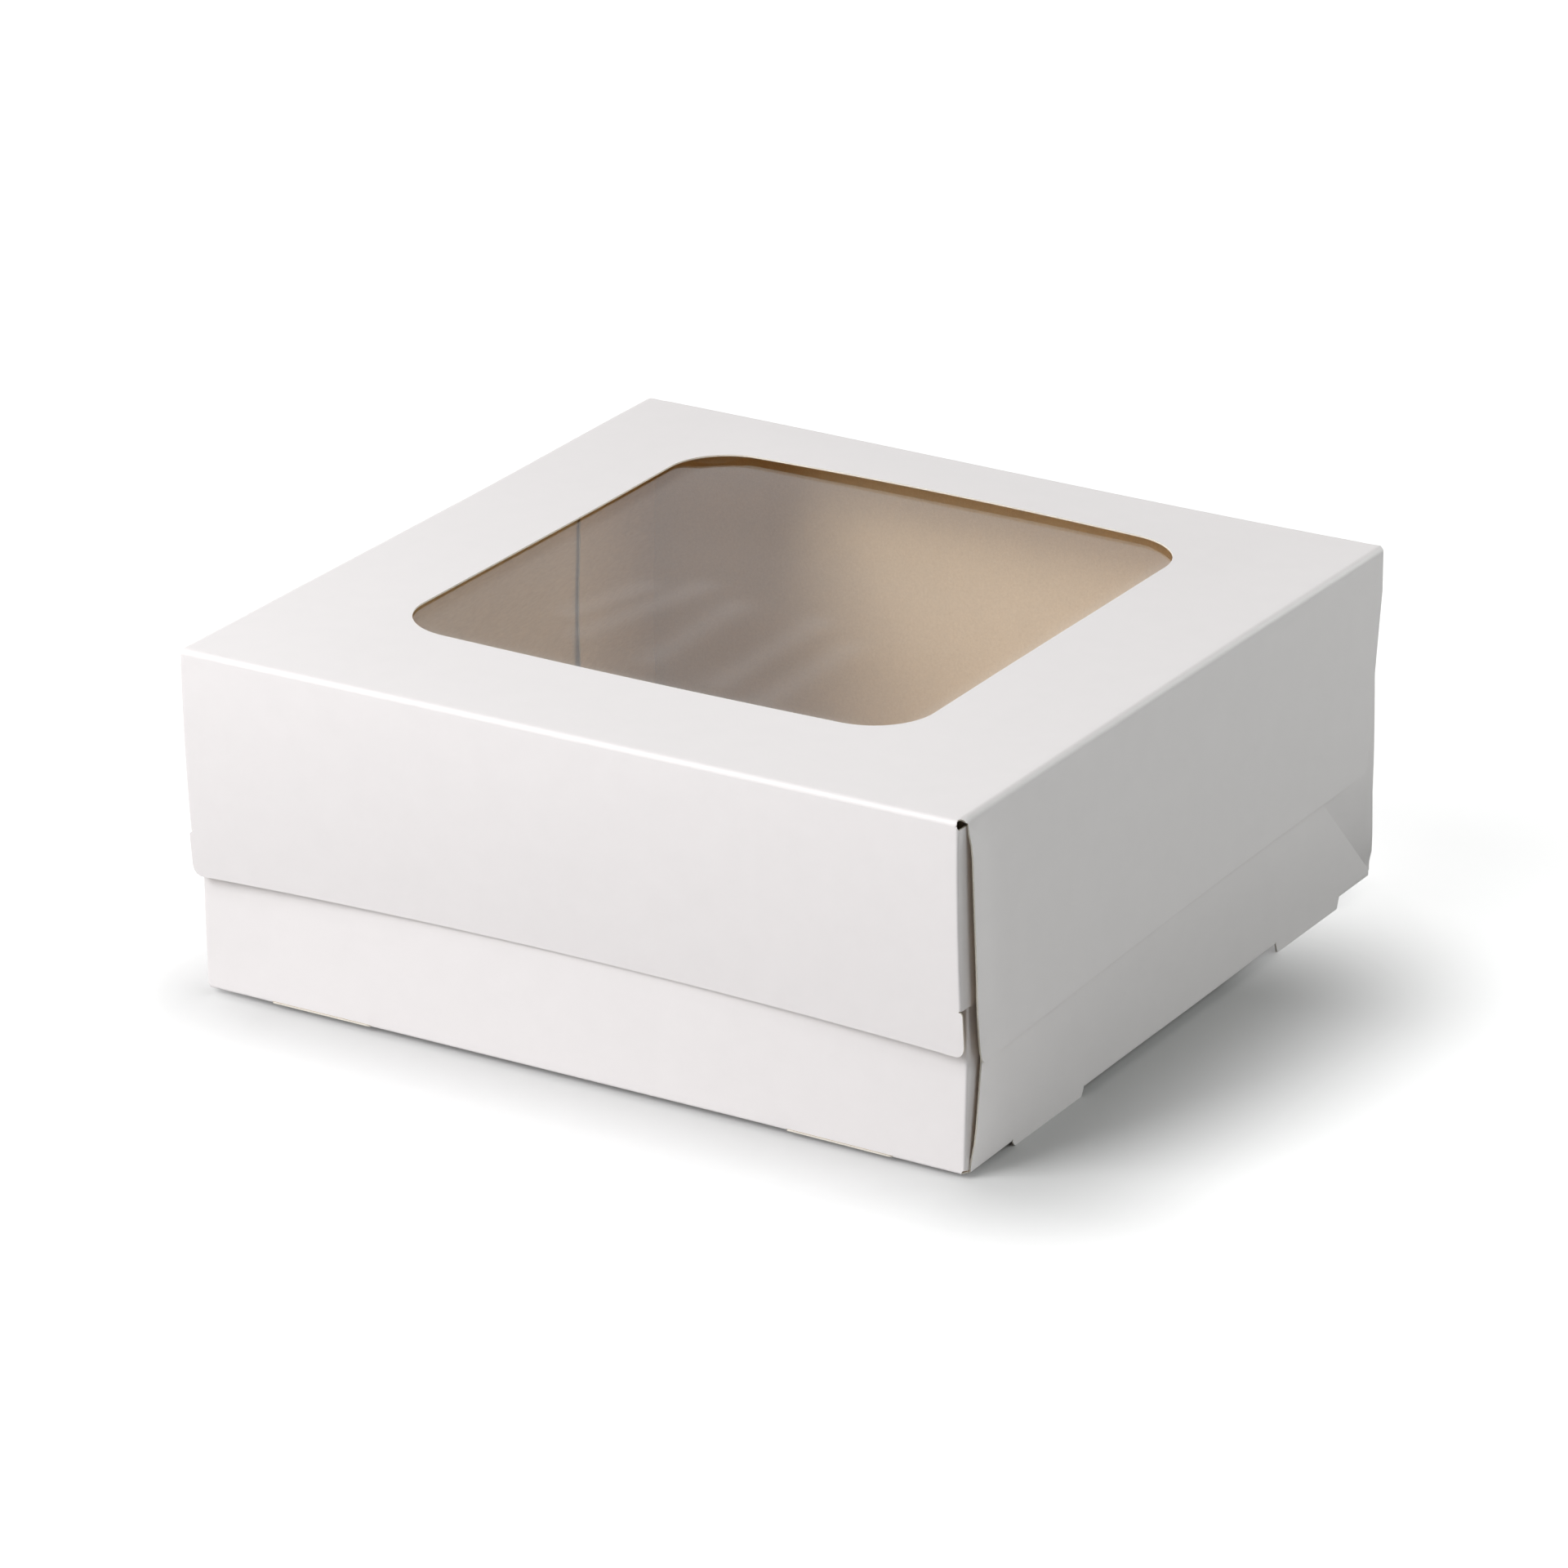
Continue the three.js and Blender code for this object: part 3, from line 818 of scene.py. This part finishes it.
end_columns = across_columns(TAB_OUTER - WALL_FOLD, WALL_FOLD)
front_wall = sheet("front_wall_sheet", end_wall_outline(WALL_TOP), end_wall_place(True), end_columns,
                   wall_rows(WALL_TOP))
settle(front_wall, "tray", "front_wall", BOARD_FINISH)
rear_top = LID_TOP - REAR_FOLD
rear_wall = sheet("rear_wall_sheet", end_wall_outline(rear_top), end_wall_place(False), end_columns,
                  wall_rows(rear_top))
settle(rear_wall, "tray", "rear_wall", BOARD_FINISH)

for side_name, side in (("left", -1), ("right", 1)):
    wall_creases = [tuple(gusset_outline(end)[:2]) for end in ("front", "rear")]
    wall = sheet(f"{side_name}_wall_sheet", side_wall_outline(), side_wall_place(side),
                 even(-92, 98, 5.0), wall_rows(WALL_TOP), creases=wall_creases)
    settle(wall, "tray", f"{side_name}_wall", BOARD_FINISH)
    for end in ("front", "rear"):
        node = f"{side_name}_{end}"
        gusset = sheet(f"{node}_gusset_sheet", gusset_outline(end), side_wall_place(side), even(-93, 99, 3.0),
                       even(5, WALL_TOP - 1, 4.0), creases=[tuple(gusset_outline(end)[:2])])
        settle(gusset, "tray", f"{node}_gusset", BOARD_FINISH)
        tab = sheet(f"{node}_tab_sheet", tab_outline(end), tab_place(side, end), even(-94, 100, 3.0),
                    even(5, WALL_TOP - 1, 4.0))
        settle(tab, "tray", f"{node}_tab", BOARD_FINISH)
        glue = sheet(f"{node}_glue_patch", tray_glue_outline(end), tray_glue_place(side),
                     even(-94, 100, 6.0), even(5, WALL_TOP - 1, 6.0), thickness=GLUE)
        settle(glue, "tray", f"{node}_glue", (GLUE_FINISH,) * 3)


# The lid's pieces

lid_straight = LID_HALF - LID_FOLD
lid_rows = [LID_FRONT + LID_FOLD - quarter_turn(LID_FOLD) * (1 - i / FOLD_ROWS)
            for i in range(FOLD_ROWS + 1)]
lid_rows += [LID_FRONT + LID_FOLD + 0.7] + even(-96, 96, 5.0) + [REAR - REAR_FOLD - 0.7]
lid_panel = sheet("lid_panel_sheet", lid_outline(), lid_place, across_columns(lid_straight, LID_FOLD),
                  lid_rows, holes=[grown_window(0.0, 20)])
settle(lid_panel, "lid", "lid_panel", BOARD_FINISH)

flap_rows = [LID_FOLD, LID_FOLD + 0.6] + even(4, 58, 3.5)
front_flap = sheet("lid_front_flap_sheet", front_flap_outline(), front_flap_place,
                   across_columns(LID_TAB_OUTER - WALL_FOLD, WALL_FOLD), flap_rows)
settle(front_flap, "lid", "lid_front_flap", BOARD_FINISH)

for side_name, side in (("left", -1), ("right", 1)):
    crease = (crease_head(), flap_lower_edge(crease_foot()))
    flap = sheet(f"lid_{side_name}_flap_sheet", side_flap_outline(), side_flap_place(side),
                 [-97, -96.4, -95.7, -95, -94, -92.6] + even(-91, 98, 4.0), flap_rows, creases=[crease])
    settle(flap, "lid", f"lid_{side_name}_flap", BOARD_FINISH)
    gusset = sheet(f"lid_{side_name}_gusset_sheet", flap_gusset_outline(), side_flap_place(side),
                   even(-96, -36, 1.5), even(4, 59, 3.0), creases=[crease])
    settle(gusset, "lid", f"lid_{side_name}_gusset", BOARD_FINISH)
    tab = sheet(f"lid_{side_name}_tab_sheet", lid_tab_outline(), lid_tab_place(side), even(-100, -68, 4.0),
                even(4, 51, 4.0))
    settle(tab, "lid", f"lid_{side_name}_tab", BOARD_FINISH)
    glue = sheet(f"lid_{side_name}_glue_patch", lid_glue_outline(), lid_glue_place(side),
                 even(-100, -60, 5.0), even(4, 52, 5.0), thickness=GLUE)
    settle(glue, "lid", f"lid_{side_name}_glue", (GLUE_FINISH,) * 3)

lid_crease = sheet("lid_crease_sheet",
                   [(-lid_straight, 0.0), (lid_straight, 0.0), (lid_straight - 0.6, quarter_turn(REAR_FOLD)),
                    (-lid_straight + 0.6, quarter_turn(REAR_FOLD))],
                   lid_crease_place, even(-95, 95, 5.0), even(0.0, quarter_turn(REAR_FOLD), 0.25))
for finish in BOARD_FINISH:
    lid_crease.data.materials.append(finish)
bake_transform(lid_crease)


# The window film: slack, with soft ridges where it was stretched

FILM_RIDGES = (((-30.5, -42.6), (-22.2, -3.4)), ((-39.4, -32.5), (-33.5, -10.2)),
               ((-8.3, -47.5), (-8.8, -11.0)), ((12.3, -53.1), (12.6, -10.6)), ((26.9, -56.1), (27.0, -20.3)))


def ridge(x, y):
    """How much of a film ridge is at a place, from 0 to 1."""
    most = 0.0
    for a, b in FILM_RIDGES:
        most = max(most, math.exp(-(line_distance((x, y), a, b) / 4.0) ** 2))
    return most


def film_drop(x, y):
    """How far the slack film hangs below the glued rim, most behind the arched edge of the window."""
    x0, x1, y0, y1 = WINDOW
    edge = min(x - x0 + 2, x1 + 2 - x, y - y0 + 2, y1 + 4 - y)
    return (0.85 + 0.35 * max(0.0, lid_lift(x, y))) * smooth(0, 6, edge)


def film_place(u, v, inward):
    return u, v, film_under - inward - film_drop(u, v) + 0.05 * ridge(u, v) + lid_lift(u, v)


film_under = LID_TOP - BOARD - GLUE
film = sheet("window_film_sheet", grown_window(FILM_OVERLAP), film_place, even(-79, 74, 2.0),
             even(-72, 84, 2.0), thickness=FILM)
# Share of painted reflection along the film's ridges, read by the film's material
ridge_glint = film.data.attributes.new("ridge_glint", "FLOAT", "POINT")
for vertex, value in zip(film.data.vertices, ridge_glint.data):
    value.value = 0.02 * ridge(vertex.co.x * 1000, vertex.co.y * 1000)
settle(film, "lid", "window_film", (FILM_FINISH,) * 3)


# The window's glue line: a flat band that follows the window, laid down with a slight waver

def band_along_path():
    """Sweeps a flat band along a closed path. Its sizes are inputs, in metres."""
    tree = bpy.data.node_groups.new("band_along_path", "GeometryNodeTree")
    sockets = (("Path", "INPUT", "NodeSocketGeometry"), ("Width", "INPUT", "NodeSocketFloat"),
               ("Thickness", "INPUT", "NodeSocketFloat"), ("Waver", "INPUT", "NodeSocketFloat"),
               ("Seed", "INPUT", "NodeSocketFloat"), ("Finish", "INPUT", "NodeSocketMaterial"),
               ("Band", "OUTPUT", "NodeSocketGeometry"))
    for name, direction, kind in sockets:
        tree.interface.new_socket(name, in_out=direction, socket_type=kind)
    given = add(tree, "NodeGroupInput").outputs
    line = add(tree, "GeometryNodeMeshToCurve", links={0: given["Path"]})
    line = add(tree, "GeometryNodeResampleCurve", {"Count": 220}, {"Curve": line.outputs[0]})
    line = add(tree, "GeometryNodeSetCurveNormal", links={"Curve": line.outputs[0]}, mode="Z_UP")
    section = add(tree, "GeometryNodeCurvePrimitiveQuadrilateral",
                  links={"Width": given["Width"], "Height": given["Thickness"]})
    swept = add(tree, "GeometryNodeCurveToMesh",
                links={"Curve": line.outputs[0], "Profile Curve": section.outputs[0]})
    noise = add(tree, "ShaderNodeTexNoise", {"Scale": 45.0, "Detail": 1.0}, {"W": given["Seed"]},
                noise_dimensions="4D")
    centred = add(tree, "ShaderNodeVectorMath", {1: (0.5, 0.5, 0.5)}, {0: noise.outputs["Color"]},
                  operation="SUBTRACT")
    level = add(tree, "ShaderNodeVectorMath", {1: (1.0, 1.0, 0.0)}, {0: centred.outputs[0]},
                operation="MULTIPLY")
    offset = add(tree, "ShaderNodeVectorMath", links={0: level.outputs[0], "Scale": given["Waver"]},
                 operation="SCALE")
    moved = add(tree, "GeometryNodeSetPosition",
                links={"Geometry": swept.outputs[0], "Offset": offset.outputs[0]})
    real = add(tree, "GeometryNodeRealizeInstances", links={0: moved.outputs[0]})
    done = add(tree, "GeometryNodeSetMaterial",
               links={"Geometry": real.outputs[0], "Material": given["Finish"]})
    add(tree, "NodeGroupOutput", links={0: done.outputs[0]})
    return tree


def band(name, path, inputs):
    """A mesh of the band along a closed path of points in millimetres."""
    data = bpy.data.meshes.new(name)
    closed = [(i, (i + 1) % len(path)) for i in range(len(path))]
    data.from_pydata([Vector(p) / 1000 for p in path], closed, [])
    guide = bpy.data.objects.new(name + "_path", data)
    bpy.context.scene.collection.objects.link(guide)
    modifier = guide.modifiers.new("band", "NODES")
    modifier.node_group = band_along_path()
    for socket in modifier.node_group.interface.items_tree:
        if socket.name in inputs:
            modifier[socket.identifier] = inputs[socket.name]
    shape = guide.evaluated_get(bpy.context.evaluated_depsgraph_get())
    result = bpy.data.meshes.new_from_object(shape)
    bpy.data.objects.remove(guide)
    piece = bpy.data.objects.new(name, result)
    bpy.context.scene.collection.objects.link(piece)
    return piece


glue_middle = film_under + GLUE / 2
glue_path = [(x, y, glue_middle) for x, y in grown_window((GLUE_LINE[0] + GLUE_LINE[1]) / 2)]
window_glue = band("window_glue_line", glue_path,
                   {"Width": (GLUE_LINE[1] - GLUE_LINE[0]) / 1000, "Thickness": GLUE / 1000, "Waver": 0.0016,
                    "Seed": 7.0, "Finish": GLUE_FINISH})
for vertex in window_glue.data.vertices:
    vertex.co.z += lid_lift(vertex.co.x * 1000, vertex.co.y * 1000) / 1000
settle(window_glue, "lid", "window_glue", ())


# Floor, light and camera

def studio_floor():
    """Matt paper sweep. The camera sees it fade to pure white away from the box and keeps the shadow; near the
    box its own grey tone stays as painted shadow that deepens the cast one.
    """
    material, tree = new_material("paper_sweep_painted_shadow")
    path = add(tree, "ShaderNodeLightPath")
    place = add(tree, "ShaderNodeTexCoord").outputs["Object"]
    away = add(tree, "ShaderNodeVectorMath", {1: SHADOW_PATCH_CENTRE}, {0: place}, operation="SUBTRACT")
    away = add(tree, "ShaderNodeVectorMath", links={0: away.outputs[0]}, operation="ABSOLUTE")
    away = add(tree, "ShaderNodeVectorMath", {1: SHADOW_PATCH_HALF}, {0: away.outputs[0]},
               operation="SUBTRACT")
    away = add(tree, "ShaderNodeVectorMath", {1: (0.0, 0.0, 0.0)}, {0: away.outputs[0]},
               operation="MAXIMUM")
    away = add(tree, "ShaderNodeVectorMath", links={0: away.outputs[0]}, operation="LENGTH")
    # No glow inside the painted shadow patch, full glow 75 mm beyond it
    fade = add(tree, "ShaderNodeMapRange",
               {"From Min": -0.004, "From Max": 0.075, "To Min": 0.0, "To Max": 0.72},
               {"Value": away.outputs["Value"]}, interpolation_type="SMOOTHSTEP")
    glow = add(tree, "ShaderNodeMath", links={0: path.outputs["Is Camera Ray"], 1: fade.outputs[0]},
               operation="MULTIPLY")
    shader = add(tree, "ShaderNodeBsdfPrincipled",
                 {"Base Color": linear("#C8C8C8"), "Roughness": 0.95, "Specular IOR Level": 0.0,
                  "Emission Color": (1.0, 1.0, 1.0, 1.0)}, {"Emission Strength": glow.outputs[0]})
    finish_material(tree, shader.outputs[0])
    return material


def add_floor():
    mesh = bmesh.new()
    bmesh.ops.create_grid(mesh, x_segments=8, y_segments=8, size=8.0)
    data = bpy.data.meshes.new("studio_floor")
    mesh.to_mesh(data)
    mesh.free()
    piece = bpy.data.objects.new("studio_floor", data)
    bpy.context.scene.collection.objects.link(piece)
    piece.data.materials.append(studio_floor())


# The light on the right is a touch greener than that on the left
COOL = (0.965, 1.0, 0.978)


def add_softbox(name, azimuth, elevation, power, colour=(1.0, 1.0, 1.0), distance=1.6, size=0.9):
    """A square lamp round the box. Azimuth 0 is in front, 90 on the right."""
    a, e = math.radians(azimuth), math.radians(elevation)
    away = Vector((math.sin(a) * math.cos(e), -math.cos(a) * math.cos(e), math.sin(e)))
    data = bpy.data.lights.new(name, "AREA")
    data.shape = "SQUARE"
    data.size = size
    data.energy = power
    data.color = colour
    lamp = bpy.data.objects.new(name, data)
    lamp.location = away * distance + Vector((0, 0, 0.04))
    lamp.rotation_euler = away.to_track_quat("Z", "Y").to_euler()
    lamp.visible_camera = False
    bpy.context.scene.collection.objects.link(lamp)


def add_surroundings():
    """White room: plain light on the box, and pure white where the camera or a glossy face sees it."""
    world = bpy.data.worlds.new("white_room")
    world.use_nodes = True
    tree = world.node_tree
    tree.nodes.clear()
    path = add(tree, "ShaderNodeLightPath")
    seen = add(tree, "ShaderNodeMath",
               links={0: path.outputs["Is Camera Ray"], 1: path.outputs["Is Glossy Ray"]}, operation="MAXIMUM")
    seen = add(tree, "ShaderNodeMath", links={0: seen.outputs[0], 1: path.outputs["Is Transmission Ray"]},
               operation="MAXIMUM")
    strength = add(tree, "ShaderNodeMapRange", {"To Min": 0.02, "To Max": 1.0}, {"Value": seen.outputs[0]})
    room = add(tree, "ShaderNodeBackground", {"Color": (1.0, 1.0, 1.0, 1.0)},
               {"Strength": strength.outputs[0]})
    add(tree, "ShaderNodeOutputWorld", links={"Surface": room.outputs[0]})
    bpy.context.scene.world = world


def add_camera(azimuth, elevation, roll, place, lens):
    """A long lens at the photograph's angle; its film is 36 mm wide."""
    a, e = math.radians(azimuth), math.radians(elevation)
    ahead = Vector((-math.sin(a) * math.cos(e), math.cos(a) * math.cos(e), -math.sin(e)))
    right = Vector((math.cos(a), math.sin(a), 0.0))
    up = right.cross(ahead)
    tilt = Matrix.Rotation(-math.radians(roll), 3, ahead)
    right, up = tilt @ right, tilt @ up
    data = bpy.data.cameras.new("camera")
    data.sensor_width = 36.0
    data.sensor_fit = "HORIZONTAL"
    data.lens = lens
    data.clip_end = 30.0
    camera = bpy.data.objects.new("camera", data)
    camera.matrix_world = Matrix((right, up, -ahead)).transposed().to_4x4()
    camera.location = Vector(place) / 1000
    bpy.context.scene.collection.objects.link(camera)
    bpy.context.scene.camera = camera


add_floor()
add_surroundings()
add_softbox("key_front_left", -30, 30, 17.0)
add_softbox("high_front_left", -30, 50, 10.2)
add_softbox("rear_left_fill", -120, 12, 8.3)
add_softbox("rear_fill", 180, 12, 3.1)
add_softbox("right_rear_fill", 150, 12, 9.6, COOL)
add_softbox("right_fill", 90, 40, 4.8, COOL)
add_camera(30.72, 21.84, 0.08, (821.05, -1385.48, 685.09), 171.75)
bpy.context.scene.view_settings.view_transform = "Standard"
